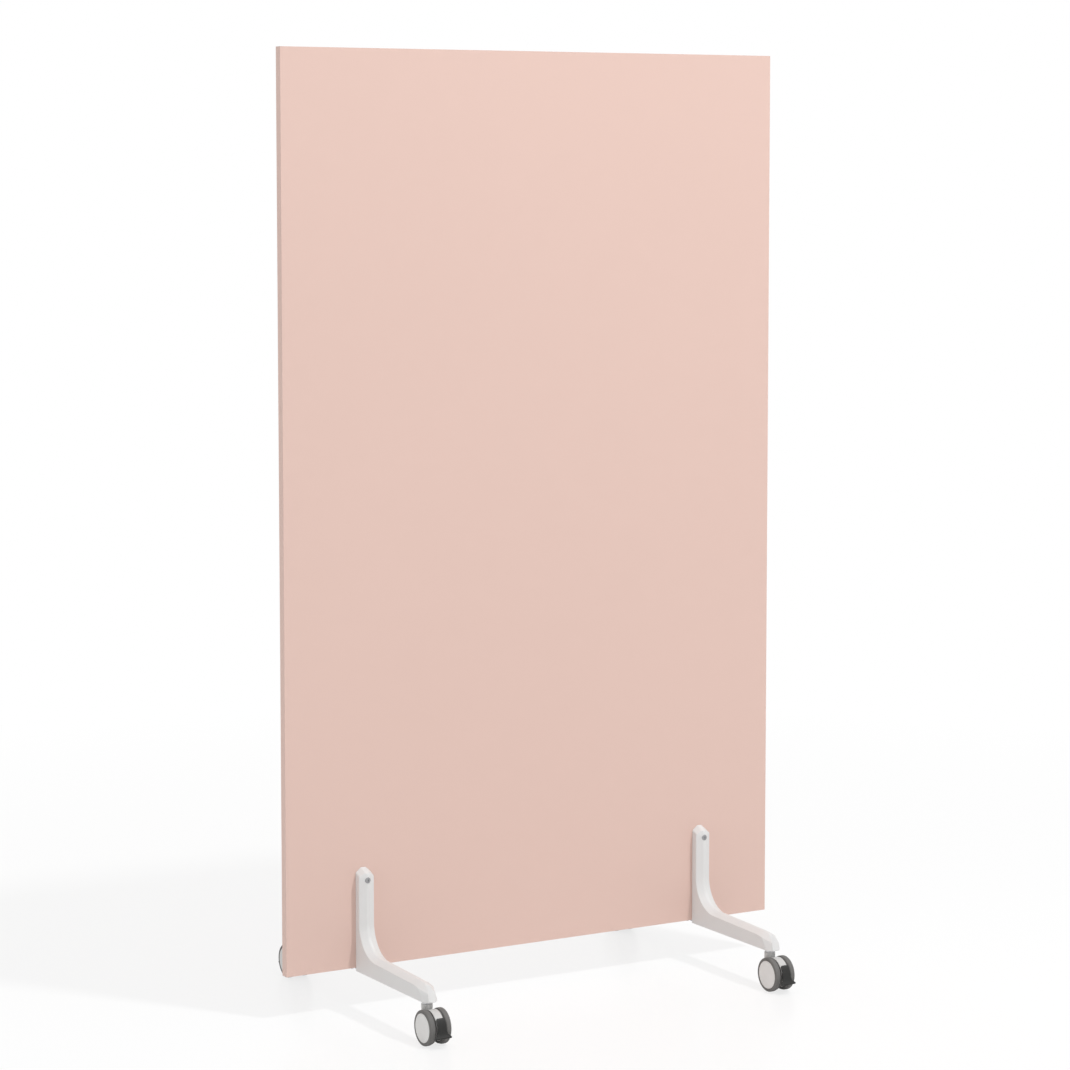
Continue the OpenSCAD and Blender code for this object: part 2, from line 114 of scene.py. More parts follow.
def relief(finish, shader, height, depth, strength=1.0):
    """Raises the surface by the height value times depth, in metres."""
    node = add_node(finish, "ShaderNodeBump", Height=height, Distance=depth, Strength=strength)
    feed(finish, shader, Normal=node.outputs["Normal"])


def shade(colour, factor):
    return tuple(part * factor for part in colour)


def dress(node_name, finish):
    """Gives a CAD node its finish."""
    mesh = nodes[node_name].data
    mesh.materials.clear()
    mesh.materials.append(finish)


CHIP_TAN = (0.479, 0.342, 0.187)
particle_board, shader = new_finish("particle_board", CHIP_TAN, 0.9)
place = object_place(particle_board)
chips = add_node(particle_board, "ShaderNodeTexVoronoi", Vector=place, Scale=320.0)
chip_tone = spread(particle_board, chips.outputs["Color"], 0.0, 1.0, 0.1, 0.9)
chip_colour = two_tones(particle_board, chip_tone, shade(CHIP_TAN, 0.6), shade(CHIP_TAN, 1.25))
feed(particle_board, shader, Base_Color=chip_colour)
relief(particle_board, shader, chips.outputs["Distance"], 0.0004)
dress("board_core", particle_board)

# ---- Face sheets ----
# Two sheets of satin blush laminate, 1 mm thick, are glued over the whole front and back of
# the core. They have a very fine pressed texture and the faint unevenness of a glued sheet.
BLUSH = (0.748, 0.540, 0.474)
PRESS_GRAIN = 1400.0
laminate, shader = new_finish("blush_laminate", BLUSH, 0.5)
place = object_place(laminate)
cloud = noise(laminate, place, 2.2, 2.0)
fleck = noise(laminate, place, PRESS_GRAIN, 2.0, 0.6)
fleck_tone = reckon(laminate, "MULTIPLY_ADD", cloud, 0.5, spread(laminate, fleck, 0.0, 0.5))
feed(
    laminate, shader,
    Base_Color=two_tones(laminate, fleck_tone, shade(BLUSH, 0.978), shade(BLUSH, 1.018)),
    Roughness=spread(laminate, fleck, 0.44, 0.56), Specular_IOR_Level=0.35,
)
relief(laminate, shader, fleck, 0.00006, 0.6)
for sheet in ("front_face_sheet", "rear_face_sheet"):
    dress(sheet, laminate)

# ---- Edge bands ----
# Strips of solid-coloured plastic band, glued round the four edges between the sheets and
# trimmed flush. The trimming leaves very fine marks that run along each strip.
BAND_TONE = (0.718, 0.519, 0.455)


def band_finish(name, stretch):
    band, shader = new_finish(name, BAND_TONE, 0.5)
    along = add_node(band, "ShaderNodeMapping", Vector=object_place(band), Scale=stretch)
    marks = noise(band, along.outputs["Vector"], 900.0, 3.0, 0.6)
    tone = two_tones(band, marks, shade(BAND_TONE, 0.965), shade(BAND_TONE, 1.03))
    feed(band, shader, Base_Color=tone, Roughness=spread(band, marks, 0.46, 0.6))
    relief(band, shader, marks, 0.00005, 0.5)
    return band


upright_band = band_finish("edge_band_upright", (1, 1, 0.02))
level_band = band_finish("edge_band_level", (0.02, 1, 1))
for strip in ("left_edge_band", "right_edge_band"):
    dress(strip, upright_band)
for strip in ("top_edge_band", "bottom_edge_band"):
    dress(strip, level_band)

# ---- Cast feet ----
# Four die-cast aluminium feet in light grey powder coat. Each is a bar with a soft crown
# that rises up the board, bends at its foot and runs out to a blunt tip over the caster.
# It is cored out from below in ribbed cells, and a tie plate seat is cut at its root.
MM = 0.001
CORNERS = {
    "front_left": (-1, True),
    "front_right": (1, True),
    "rear_left": (-1, False),
    "rear_right": (1, False),
}
FOOT_X = 356.5
FACE_Y = 8.5
FOOT_Z = 72.5
FOOT_HALF = 15.0
CROWN_HALF = 2.5
CROWN_RISE = 6.5
UPRIGHT_DEEP = 13.5
UPRIGHT_TOP = 187.0
PEAK_HIGH = 10.0
PEAK_HALF = 4.5
PEAK_LEAN = 1.5
PEAK_TURN = 1.0
PEAK_FALL = 0.42
BEND_RADIUS = 60.0
ROOT_HIGH = 28.5
SLOPE = math.radians(1.7)
STEM_OUT = 238.0
FOOT_END = 258.0
BEND_STEPS = 28
BEND_Y = UPRIGHT_DEEP + BEND_RADIUS
BEND_Z = ROOT_HIGH + BEND_RADIUS * math.cos(SLOPE)
BEND_END_Y = BEND_Y - BEND_RADIUS * math.sin(SLOPE)
CLAMP_Z = 166.0
TIP_TAPER = FOOT_END - 40
TIP_SLANT = FOOT_END - 25
TIP_DROP = 2.0
TIP_FACE = (FOOT_END - 1.5, 14.5)
TIP_FACE_HALF = FOOT_HALF - 8
TIP_CROWN_Y = FOOT_END - 17


def top_of_foot(y):
    return ROOT_HIGH - (y - BEND_END_Y) * math.tan(SLOPE)


def peak_ring(half, z, lean=0.0):
    """Ring at one height of the blunt point that ends the upright."""
    crown_y = UPRIGHT_DEEP + CROWN_RISE
    side_y = crown_y - CROWN_RISE * (half - CROWN_HALF) / (FOOT_HALF - CROWN_HALF)
    side = (side_y - lean, z - side_y * PEAK_FALL)
    return (0, z), side, (crown_y - lean, z - crown_y * PEAK_FALL), half, CROWN_HALF


def bend_ring(step):
    """Ring at one step of the bend: its back point slides down the board, then out."""
    share = step / BEND_STEPS
    angle = math.pi + (math.pi / 2 - SLOPE) * share
    out = Vector((math.cos(angle), math.sin(angle)))
    middle = Vector((BEND_Y, BEND_Z))
    down = max(0, 1 - 2 * share) * BEND_Z
    along = max(0, 2 * share - 1) * (BEND_END_Y - ROOT_HIGH * math.tan(SLOPE))
    side = middle + out * BEND_RADIUS
    crown = middle + out * (BEND_RADIUS - CROWN_RISE)
    return (along, down), tuple(side), tuple(crown), FOOT_HALF, CROWN_HALF


def tip_ring(back, y, drop, crown_drop):
    """Full-width ring where the top begins to change towards the tip."""
    top = top_of_foot(y)
    return (back, 0), (y, top - drop), (y + 1, top + CROWN_RISE - crown_drop), FOOT_HALF, CROWN_HALF


def foot_rings():
    """Rings of the foot from the upright's point down, round the bend and out to the tip."""
    rings = [
        peak_ring(PEAK_HALF, UPRIGHT_TOP, PEAK_LEAN),
        peak_ring(FOOT_HALF - PEAK_TURN, UPRIGHT_TOP - PEAK_HIGH + 2 * PEAK_TURN),
        peak_ring(FOOT_HALF, UPRIGHT_TOP - PEAK_HIGH),
    ]
    rings += [bend_ring(step) for step in range(BEND_STEPS + 1)]
    rings.append(tip_ring(FOOT_END - 22, TIP_TAPER, 0, 0))
    rings.append(tip_ring(FOOT_END - 9, TIP_SLANT, TIP_DROP, 0.5))
    crown = (TIP_CROWN_Y, top_of_foot(TIP_SLANT) + 3)
    rings.append(((FOOT_END, 0), TIP_FACE, crown, TIP_FACE_HALF, CROWN_HALF + 1))
    return rings


def ring_corners(ring):
    """Six corners of a ring of (back, side, crown, half width, half width of the crown)."""
    back, side, crown, half, crown_half = ring
    return [
        Vector(corner) for corner in (
            (-half, *back), (-half, *side), (-crown_half, *crown),
            (crown_half, *crown), (half, *side), (half, *back),
        )
    ]


def loft(shape, rings):
    """Draws a face on the first ring of corners and extrudes it through all the others."""
    end = shape.faces.new([shape.verts.new(corner) for corner in rings[0]])
    for number, corners in enumerate(rings[1:]):
        made = bmesh.ops.extrude_face_region(shape, geom=[end])["geom"]
        if number:
            bmesh.ops.delete(shape, geom=[end], context="FACES_ONLY")
        end = next(part for part in made if isinstance(part, bmesh.types.BMFace))
        for corner, vert in zip(corners, end.verts):
            vert.co = corner
    bmesh.ops.recalc_face_normals(shape, faces=shape.faces)


def round_edges(shape, width, over_angle=20, segments=3):
    """Rounds every edge that turns by more than the angle, in degrees."""
    sharp = [edge for edge in shape.edges if edge.calc_face_angle(0) > math.radians(over_angle)]
    bmesh.ops.bevel(
        shape, geom=sharp, offset=width, segments=segments, profile=0.5,
        affect="EDGES", material=-1, clamp_overlap=True,
    )


def block(shape, low, high):
    """A closed box between two corners."""
    made = bmesh.ops.create_cube(shape, size=1.0)["verts"]
    low, high = Vector(low), Vector(high)
    bmesh.ops.scale(shape, vec=high - low, verts=made)
    bmesh.ops.translate(shape, vec=(low + high) / 2, verts=made)
    return made


def whole(shape):
    return shape.verts[:] + shape.edges[:] + shape.faces[:]


def turned(shape, outline, steps=96, close=True):
    """Spins an outline of (radius, height) points round the z axis into a closed body."""
    verts = [shape.verts.new((radius, 0, height)) for radius, height in outline]
    pairs = list(zip(verts, verts[1:]))
    if close:
        pairs.append((verts[-1], verts[0]))
    edges = [shape.edges.new(pair) for pair in pairs]
    bmesh.ops.spin(
        shape, geom=verts + edges, cent=(0, 0, 0), axis=(0, 0, 1), angle=2 * math.pi,
        steps=steps, use_merge=True,
    )
    bmesh.ops.remove_doubles(shape, verts=shape.verts, dist=1e-4)
    bmesh.ops.recalc_face_normals(shape, faces=shape.faces)


def to_piece(name, shape, moved=Matrix.Identity(4)):
    """Makes a piece from a shape drawn in millimetres, moved to its place in metres."""
    bmesh.ops.transform(shape, matrix=Matrix.Scale(MM, 4) @ moved, verts=shape.verts)
    mesh = bpy.data.meshes.new(name)
    shape.to_mesh(mesh)
    shape.free()
    piece = bpy.data.objects.new(name, mesh)
    bpy.context.scene.collection.objects.link(piece)
    return piece


def settle(piece):
    """Turns the piece's modifiers into plain mesh."""
    bpy.context.view_layer.update()
    graph = bpy.context.evaluated_depsgraph_get()
    mesh = bpy.data.meshes.new_from_object(piece.evaluated_get(graph))
    piece.modifiers.clear()
    piece.data = mesh


def join(piece, tool_shape, how, moved=Matrix.Identity(4)):
    """Adds or cuts a second closed shape; how is UNION or DIFFERENCE."""
    tool = to_piece(piece.name + "_tool", tool_shape, moved)
    step = piece.modifiers.new("join", "BOOLEAN")
    step.operation = how
    step.solver = "EXACT"
    step.object = tool
    settle(piece)
    bpy.data.objects.remove(tool)


def smooth(piece, over_angle=32):
    """Shades the piece smooth, but for edges that turn by more than the angle, in degrees."""
    shape = bmesh.new()
    shape.from_mesh(piece.data)
    bmesh.ops.dissolve_degenerate(shape, dist=2e-6, edges=shape.edges)
    for face in shape.faces:
        face.smooth = True
    for edge in shape.edges:
        edge.smooth = edge.calc_face_angle(0) < math.radians(over_angle)
    shape.to_mesh(piece.data)
    shape.free()
    weighted = piece.modifiers.new("flat faces stay flat", "WEIGHTED_NORMAL")
    weighted.keep_sharp = True


def finish_piece(piece, finish, body, slot, *replaced):
    piece.data.materials.clear()
    piece.data.materials.append(finish)
    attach(piece, body)
    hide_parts(*replaced)


def facing(is_front):
    """Turn that makes a foot drawn for the rear point to the front."""
    return Matrix.Rotation(math.pi, 4, "Z") if is_front else Matrix.Identity(4)


def at_corner(corner):
    """Place of a foot: y runs out from the board's face, z up from the foot's underside."""
    side, is_front = CORNERS[corner]
    return (
        Matrix.Translation((side * FOOT_X, 0, FOOT_Z)) @ facing(is_front)
        @ Matrix.Translation((0, FACE_Y, 0))
    )


CELL_COUNT = 4
CELL_HALF = 11.0
CELL_ROOF = 5.0
CELL_START = 36.0
CELL_LONG = 45.75
RIB = 2.5
PLATE_SEAT = (30.2, 6)
SOCKET_R = 5.52
SOCKET_TOP = 20.0
BELOW = 1.0


def foot_cells():
    """Four cored cells under the foot, the seat of the tie plate and the stem's socket."""
    shape = bmesh.new()
    for number in range(CELL_COUNT):
        y0 = CELL_START + number * (CELL_LONG + RIB)
        cell = block(shape, (-CELL_HALF, y0, -BELOW), (CELL_HALF, y0 + CELL_LONG, 10))
        for vert in cell:
            if vert.co.z > 0:
                vert.co.z = top_of_foot(vert.co.y) - CELL_ROOF
    block(shape, (-CELL_HALF, -BELOW, -BELOW), (CELL_HALF, *PLATE_SEAT))
    socket = bmesh.ops.create_cone(
        shape, cap_ends=True, segments=48, radius1=SOCKET_R, radius2=SOCKET_R,
        depth=SOCKET_TOP + BELOW,
    )["verts"]
    bmesh.ops.translate(shape, vec=(0, STEM_OUT, (SOCKET_TOP - BELOW) / 2), verts=socket)
    return shape


SLEEVE_BORE_R = 4.7
SLEEVE_BORE_END = 13.4
SCREW_BORE_R = 3.2
HEAD_SEAT = 17.4
COUNTERBORE_R = 5.5
COUNTERBORE_END = 24.0


def clamp_bore():
    """Stepped bore for the clamp: wide through the back, narrow, then the head's counterbore."""
    shape = bmesh.new()
    outline = [
        (0, -BELOW), (SLEEVE_BORE_R, -BELOW), (SLEEVE_BORE_R, SLEEVE_BORE_END),
        (SCREW_BORE_R, SLEEVE_BORE_END), (SCREW_BORE_R, HEAD_SEAT), (COUNTERBORE_R, HEAD_SEAT),
        (COUNTERBORE_R, COUNTERBORE_END), (0, COUNTERBORE_END),
    ]
    turned(shape, outline, 48)
    lie = Matrix.Rotation(-math.pi / 2, 3, "X")
    bmesh.ops.rotate(shape, cent=(0, 0, 0), matrix=lie, verts=shape.verts)
    bmesh.ops.translate(shape, vec=(0, 0, CLAMP_Z), verts=shape.verts)
    return shape


POWDER_GREY = (0.738, 0.737, 0.732)
powder_coat, shader = new_finish("powder_coat", POWDER_GREY, 0.42)
place = object_place(powder_coat)
peel = noise(powder_coat, place, 420.0, 2.0, 0.45)
sand = noise(powder_coat, place, 2600.0, 2.0, 0.5)
powder_tone = two_tones(powder_coat, sand, shade(POWDER_GREY, 0.975), shade(POWDER_GREY, 1.02))
feed(
    powder_coat, shader, Base_Color=powder_tone,
    Roughness=spread(powder_coat, sand, 0.38, 0.5), Specular_IOR_Level=0.4,
)
skin = reckon(powder_coat, "MULTIPLY_ADD", sand, 0.35, peel)
relief(powder_coat, shader, skin, 0.00007, 0.5)

for corner in CORNERS:
    shape = bmesh.new()
    loft(shape, [ring_corners(ring) for ring in foot_rings()])
    round_edges(shape, 0.85)
    foot = to_piece(corner + "_foot_casting", shape, at_corner(corner))
    join(foot, foot_cells(), "DIFFERENCE", at_corner(corner))
    join(foot, clamp_bore(), "DIFFERENCE", at_corner(corner))
    smooth(foot)
    finish_piece(foot, powder_coat, "stand", "cast_foot", corner + "_foot")

# ---- Tie plates and their screws ----
# A flat zinc-plated bar under the board joins each front foot to the rear foot behind it,
# held by four pan-head screws. Plating leaves a dull, faintly drawn surface.


def plated(name, tone):
    """Zinc plating with fine drawn streaks and a faint bloom."""
    plating, shader = new_finish(name, tone, 0.42, 1.0)
    drawn = add_node(plating, "ShaderNodeMapping", Vector=object_place(plating), Scale=(1, 1, 0.15))
    streak = noise(plating, drawn.outputs["Vector"], 1500.0, 3.0, 0.6)
    bloom = noise(plating, object_place(plating), 160.0, 2.0)
    feed(
        plating, shader,
        Base_Color=two_tones(plating, bloom, shade(tone, 0.85), shade(tone, 1.15)),
        Roughness=spread(plating, streak, 0.34, 0.52),
    )
    relief(plating, shader, streak, 0.00003, 0.5)
    return plating


zinc = plated("zinc_plate", (0.37, 0.37, 0.38))
for fixing in ("left_tie_plate", "right_tie_plate", "tie_screws"):
    dress(fixing, zinc)

# ---- Clamp screws and sleeve nuts ----
# A screw from the front foot runs into a sleeve from the rear foot and clamps the pair to the
# board. Both have the same small round head with a hexagon socket, sunk in the crown.
HEAD_OUTLINE = [
    (5.3, HEAD_SEAT), (5.3, 19.15), (5.16, 19.42), (4.85, 19.62), (3.4, 19.7), (0, 19.7),
]
NECK_R = 3.0
SHANK_STEP = (13.0, 13.6)
KEY_R = (2.2, 2.3)
KEY_DEEP = 3.0
KEY_MIDDLE = 19.8


def clamp_end(name, shank_radius, shank_end, bore_radius=0, bore_start=0):
    """One clamp part drawn outwards along z from the board's face, made for both sides."""
    shape = bmesh.new()
    shank = [
        (0, shank_end), (shank_radius, shank_end), (shank_radius, SHANK_STEP[0]),
        (NECK_R, SHANK_STEP[1]), (NECK_R, HEAD_SEAT),
    ]
    turned(shape, shank + HEAD_OUTLINE, 64, close=False)
    piece = to_piece(name, shape)
    socket = bmesh.new()
    made = bmesh.ops.create_cone(
        socket, cap_ends=True, segments=6, radius1=KEY_R[0], radius2=KEY_R[1], depth=KEY_DEEP
    )["verts"]
    bmesh.ops.translate(socket, vec=(0, 0, KEY_MIDDLE), verts=made)
    join(piece, socket, "DIFFERENCE")
    if bore_radius:
        bore = bmesh.new()
        made = bmesh.ops.create_cone(
            bore, cap_ends=True, segments=48, radius1=bore_radius, radius2=bore_radius,
            depth=bore_start - shank_end + 1,
        )["verts"]
        bmesh.ops.translate(bore, vec=(0, 0, (bore_start + shank_end - 1) / 2), verts=made)
        join(piece, bore, "DIFFERENCE")
    return piece


def put_both(piece, is_front):
    """Turns the part to lie along y at the clamp's height and copies it to the other foot."""
    shape = bmesh.new()
    shape.from_mesh(piece.data)
    lie = Matrix.Translation((0, FACE_Y * MM, 0)) @ Matrix.Rotation(-math.pi / 2, 4, "X")
    place = Matrix.Translation((-FOOT_X * MM, 0, (FOOT_Z + CLAMP_Z) * MM))
    bmesh.ops.transform(shape, matrix=place @ (facing(is_front) @ lie), verts=shape.verts)
    second = bmesh.ops.duplicate(shape, geom=whole(shape))
    verts = [part for part in second["geom"] if isinstance(part, bmesh.types.BMVert)]
    bmesh.ops.translate(shape, vec=(2 * FOOT_X * MM, 0, 0), verts=verts)
    shape.to_mesh(piece.data)
    shape.free()


screws = clamp_end("clamp_screw_pair", NECK_R, -17.0)
put_both(screws, True)
smooth(screws)
finish_piece(screws, zinc, "stand", "zinc_steel", "clamp_screws")
sleeves = clamp_end("sleeve_nut_pair", 4.5, -29.8, 3.0, 0.2)
put_both(sleeves, False)
smooth(sleeves)
finish_piece(sleeves, zinc, "stand", "zinc_steel", "sleeve_nuts")

# ---- Caster stems, axles and pedal pins ----
# Plain turned steel, zinc plated: a stem pressed into each foot with a collar below
# it, the axle through both wheels and the pin that the brake pedal turns on. Their zinc is
# painted lighter than the tie plates' zinc: painted light that lifts the shade under the foot.
stem_zinc_painted_lighter = plated("zinc_plate_painted_lighter", (0.64, 0.64, 0.65))
for corner in CORNERS:
    for pin in ("_stem", "_axle", "_pedal_pin"):
        dress(corner + pin, stem_zinc_painted_lighter)

# ---- Caster hoods ----
# A moulded nylon hood carries each pair of wheels: a barrel that turns on the stem, a round
# neck, and a shield that fills the gap between the wheels and holds the brake pedal.
SWIVEL_OUT = FACE_Y + STEM_OUT
TRAIL = 21.0
AXLE_Z = 31.0
WHEEL_R = 31.0
WHEEL_IN = 7.65
WHEEL_OUT = 21.35
HOOD_HALF = 7.3
HOOD_R = 29.5
BARREL_R = 10.0
NECK_LOW_R = 8.0
NECK_LOW_Z = -6
NECK_FULL_Z = 4
JOURNAL_R = 4.05
JOURNAL = (15.8, 50)
SHIELD_CUTS = [
    ((0, -2 * WHEEL_R, -9), (0, 4, 84), "clear_inner"),
    ((0, HOOD_R - 1, 7.5), (0, 20.5, -6.5), "clear_outer"),
]
BARREL_TOP = 67.15
SKIRT_Z = 59.37
MOUTH_HALF = 4.9
MOUTH = [(11, -60), (11, 1), (12.5, 4), (12.5, 13), (16, 16), (60, 16), (60, -60)]
PIN_PLACE = (0, 17.0, 9.0)


def at_axle(corner):
    """Place of a caster's wheels: y runs out from the axle along the trail, z up from it."""
    side, is_front = CORNERS[corner]
    return (
        Matrix.Translation((side * FOOT_X, 0, 0)) @ facing(is_front)
        @ Matrix.Translation((0, SWIVEL_OUT + TRAIL, AXLE_Z))
    )


def slab(shape, outline, half):
    """Extrudes a side outline of (y, z) points to both sides of the middle."""
    shape.faces.new([shape.verts.new((-half, y, z)) for y, z in outline])
    thicken(shape, half)


def thicken(shape, half):
    """Extrudes the faces of a flat shape that lies half a thickness off the middle."""
    made = bmesh.ops.extrude_face_region(shape, geom=shape.faces[:])["geom"]
    verts = [part for part in made if isinstance(part, bmesh.types.BMVert)]
    bmesh.ops.translate(shape, vec=(2 * half, 0, 0), verts=verts)
    bmesh.ops.recalc_face_normals(shape, faces=shape.faces)


def shield():
    """Round shield over the gap between the wheels, cut off below and behind the pedal."""
    shape = bmesh.new()
    bmesh.ops.create_circle(shape, cap_ends=True, segments=128, radius=HOOD_R)
    bmesh.ops.rotate(
        shape, cent=(0, 0, 0), matrix=Matrix.Rotation(math.pi / 2, 3, "Y"), verts=shape.verts
    )
    for point, normal, cleared in SHIELD_CUTS:
        bmesh.ops.bisect_plane(
            shape, geom=whole(shape), plane_co=point, plane_no=normal, **{cleared: True}
        )
    bmesh.ops.translate(shape, vec=(-HOOD_HALF, 0, 0), verts=shape.verts)
    thicken(shape, HOOD_HALF)
    return shape


def neck():
    """Round neck under the barrel, its sides cut flat beside the wheels."""
    shape = bmesh.new()
    top = SKIRT_Z - AXLE_Z + 0.5
    profile = [
        (0, NECK_LOW_Z), (NECK_LOW_R, NECK_LOW_Z), (BARREL_R, NECK_FULL_Z), (BARREL_R, top),
        (0, top),
    ]
    turned(shape, profile, close=False)
    bmesh.ops.translate(shape, vec=(0, -TRAIL, 0), verts=shape.verts)
    for side in (-1, 1):
        cut = bmesh.ops.bisect_plane(
            shape, geom=whole(shape), plane_co=(side * HOOD_HALF, 0, 0), plane_no=(side, 0, 0),
            clear_outer=True,
        )["geom_cut"]
        rim = [part for part in cut if isinstance(part, bmesh.types.BMEdge)]
        bmesh.ops.holes_fill(shape, edges=rim)
    bmesh.ops.recalc_face_normals(shape, faces=shape.faces)
    return shape


def barrel():
    """Swivel barrel with a rounded top rim and a small chamfer below."""
    shape = bmesh.new()
    top = BARREL_TOP - AXLE_Z
    low = SKIRT_Z - AXLE_Z
    profile = [
        (0, low), (BARREL_R - 0.4, low), (BARREL_R, low + 0.4), (BARREL_R, top - 1.0),
        (BARREL_R - 0.25, top - 0.35), (BARREL_R - 0.8, top), (0, top),
    ]
    turned(shape, profile, close=False)
    bmesh.ops.translate(shape, vec=(0, -TRAIL, 0), verts=shape.verts)
    return shape


def mouth():
    """Room for the pedal's arm, open to the front and below."""
    shape = bmesh.new()
    slab(shape, MOUTH, MOUTH_HALF)
    return shape


def journal():
    """Bore for the stem, round the swivel axis."""
    shape = bmesh.new()
    low, high = JOURNAL
    bmesh.ops.create_cone(
        shape, cap_ends=True, segments=96, radius1=JOURNAL_R, radius2=JOURNAL_R, depth=high - low
    )
    bmesh.ops.translate(shape, vec=(0, -TRAIL, (low + high) / 2), verts=shape.verts)
    return shape


def soften(piece, width, over_angle):
    """Rounds the moulding's edges that turn by more than the angle, in degrees."""
    bevel = piece.modifiers.new("moulded edges", "BEVEL")
    bevel.width = width * MM
    bevel.segments = 3
    bevel.limit_method = "ANGLE"
    bevel.angle_limit = math.radians(over_angle)
    settle(piece)


def moulded(name, tone, grain, gloss):
    """Moulded plastic with a fine spark-eroded grain and a faint unevenness of tone."""
    plastic, shader = new_finish(name, tone, gloss)
    place = object_place(plastic)
    texture = noise(plastic, place, grain, 2.0, 0.55)
    flow = noise(plastic, place, 90.0, 2.0)
    feed(
        plastic, shader,
        Base_Color=two_tones(plastic, flow, shade(tone, 0.96), shade(tone, 1.04)),
        Roughness=spread(plastic, texture, gloss - 0.06, gloss + 0.07),
    )
    relief(plastic, shader, texture, 0.00005, 0.6)
    return plastic


hood_plastic = moulded("hood_nylon", (0.595, 0.591, 0.582), 1900.0, 0.45)
for corner in CORNERS:
    hood = to_piece(corner + "_hood_moulding", shield(), at_axle(corner))
    join(hood, neck(), "UNION", at_axle(corner))
    join(hood, barrel(), "UNION", at_axle(corner))
    join(hood, mouth(), "DIFFERENCE", at_axle(corner))
    join(hood, journal(), "DIFFERENCE", at_axle(corner))
    soften(hood, 0.45, 35)
    smooth(hood)
    finish_piece(hood, hood_plastic, corner + "_caster", "hood_plastic", corner + "_hood")

# ---- Wheels ----
# Each wheel is a moulded core with a soft grey tyre and a snap-on cap. The tyre has round
# shoulders, a groove and a thin lip beside the hood, and an outer lip that closes on the cap.
CAP_R = 25.3
CAP_EDGE = WHEEL_OUT - 0.7
RIM_OUT = CAP_EDGE - 1.6
RIM_R = CAP_R + 0.3
SHOULDER = 2.6
INNER_SHOULDER = 3.0
GROOVE_R = WHEEL_R - INNER_SHOULDER
GROOVE_END = WHEEL_IN + 2.2
HOOD_LIP_R = WHEEL_R - 1.5
HOOD_LIP_END = WHEEL_IN + 1.3
CAP_GAP_R = CAP_R + 0.15
SKIRT_IN_R = CAP_R - 4.0
SKIRT_OUT_R = CAP_R - 2.8
DOME_R = CAP_R - 0.8
DOME_EDGE = CAP_EDGE + 0.1
DOME_STEPS = 12


def quarter(radius, centre, start, steps=8):
    """Points of a quarter circle as (radius, height), from the start angle in degrees."""
    turn = math.pi / 2 / steps
    return [
        (centre[0] + radius * math.cos(math.radians(start) + turn * step),
         centre[1] + radius * math.sin(math.radians(start) + turn * step))
        for step in range(steps + 1)
    ]


def tyre():
    """Tyre, drawn from the rim outwards: hood lip, groove, tread and the lip beside the cap."""
    shape = bmesh.new()
    hood_lip = [
        (HOOD_LIP_R - 0.4, WHEEL_IN), (HOOD_LIP_R - 0.1, WHEEL_IN + 0.1),
        (HOOD_LIP_R, WHEEL_IN + 0.4), (HOOD_LIP_R, HOOD_LIP_END - 0.3),
        (HOOD_LIP_R - 0.1, HOOD_LIP_END), (GROOVE_R, HOOD_LIP_END + 0.3),
    ]
    inner = quarter(INNER_SHOULDER, (GROOVE_R, GROOVE_END + INNER_SHOULDER), -90)
    outer = quarter(SHOULDER, (WHEEL_R - SHOULDER, CAP_EDGE - SHOULDER), 0)
    cap_lip = [
        (CAP_R + 0.5, CAP_EDGE), (CAP_R + 0.28, CAP_EDGE - 0.1), (CAP_GAP_R, CAP_EDGE - 0.35),
    ]
    rim = [(CAP_GAP_R, RIM_OUT), (RIM_R, RIM_OUT)]
    turned(shape, [(RIM_R, WHEEL_IN)] + hood_lip + inner + outer + cap_lip + rim, 144)
    return shape


def wheel_cap():
    """Snap-on cap: a skirt, a rounded rim and a slightly domed face."""
    shape = bmesh.new()
    profile = [
        (0, RIM_OUT), (SKIRT_IN_R, RIM_OUT), (SKIRT_IN_R, RIM_OUT - 3),
        (SKIRT_OUT_R, RIM_OUT - 3), (SKIRT_OUT_R, RIM_OUT), (CAP_R, RIM_OUT),
        (CAP_R, CAP_EDGE - 0.45), (CAP_R - 0.12, CAP_EDGE - 0.16),
        (CAP_R - 0.4, CAP_EDGE + 0.02), (DOME_R, DOME_EDGE),
    ]
    for step in range(1, DOME_STEPS + 1):
        share = 1 - step / DOME_STEPS
        profile.append((DOME_R * share, WHEEL_OUT - (WHEEL_OUT - DOME_EDGE) * share ** 2))
    turned(shape, profile, 144, close=False)
    return shape


def at_wheel(corner, hand):
    """Place of a wheel drawn out from the caster's middle along z; a is the -X side."""
    is_front = CORNERS[corner][1]
    side = -1 if hand == "a" else 1
    local = -side if is_front else side
    return at_axle(corner) @ Matrix.Rotation(local * math.pi / 2, 4, "Y")


tyre_grey, shader = new_finish("tyre_grey", (0.145, 0.142, 0.138), 0.72)
place = object_place(tyre_grey)
rub = noise(tyre_grey, place, 700.0, 3.0, 0.6)
scuff = noise(tyre_grey, place, 60.0, 4.0, 0.65)
feed(
    tyre_grey, shader,
    Base_Color=two_tones(tyre_grey, scuff, (0.125, 0.122, 0.118), (0.170, 0.167, 0.162)),
    Roughness=spread(tyre_grey, rub, 0.64, 0.8),
)
relief(tyre_grey, shader, rub, 0.00008, 0.6)
wheel_plastic = moulded("wheel_nylon", (0.560, 0.550, 0.540), 1700.0, 0.5)
cap_plastic = moulded("cap_nylon", (0.742, 0.742, 0.730), 2200.0, 0.42)
for corner in CORNERS:
    for hand in "ab":
        wheel = corner + "_wheel_" + hand
        dress(wheel, wheel_plastic)
        ring = to_piece(corner + "_tyre_" + hand, tyre(), at_wheel(corner, hand))
        smooth(ring)
        finish_piece(ring, tyre_grey, wheel, "tread", corner + "_tread_" + hand)
        disc = to_piece(corner + "_wheel_cap_" + hand, wheel_cap(), at_wheel(corner, hand))
        smooth(disc)
        finish_piece(disc, cap_plastic, wheel, "cap_plastic", corner + "_cap_" + hand)

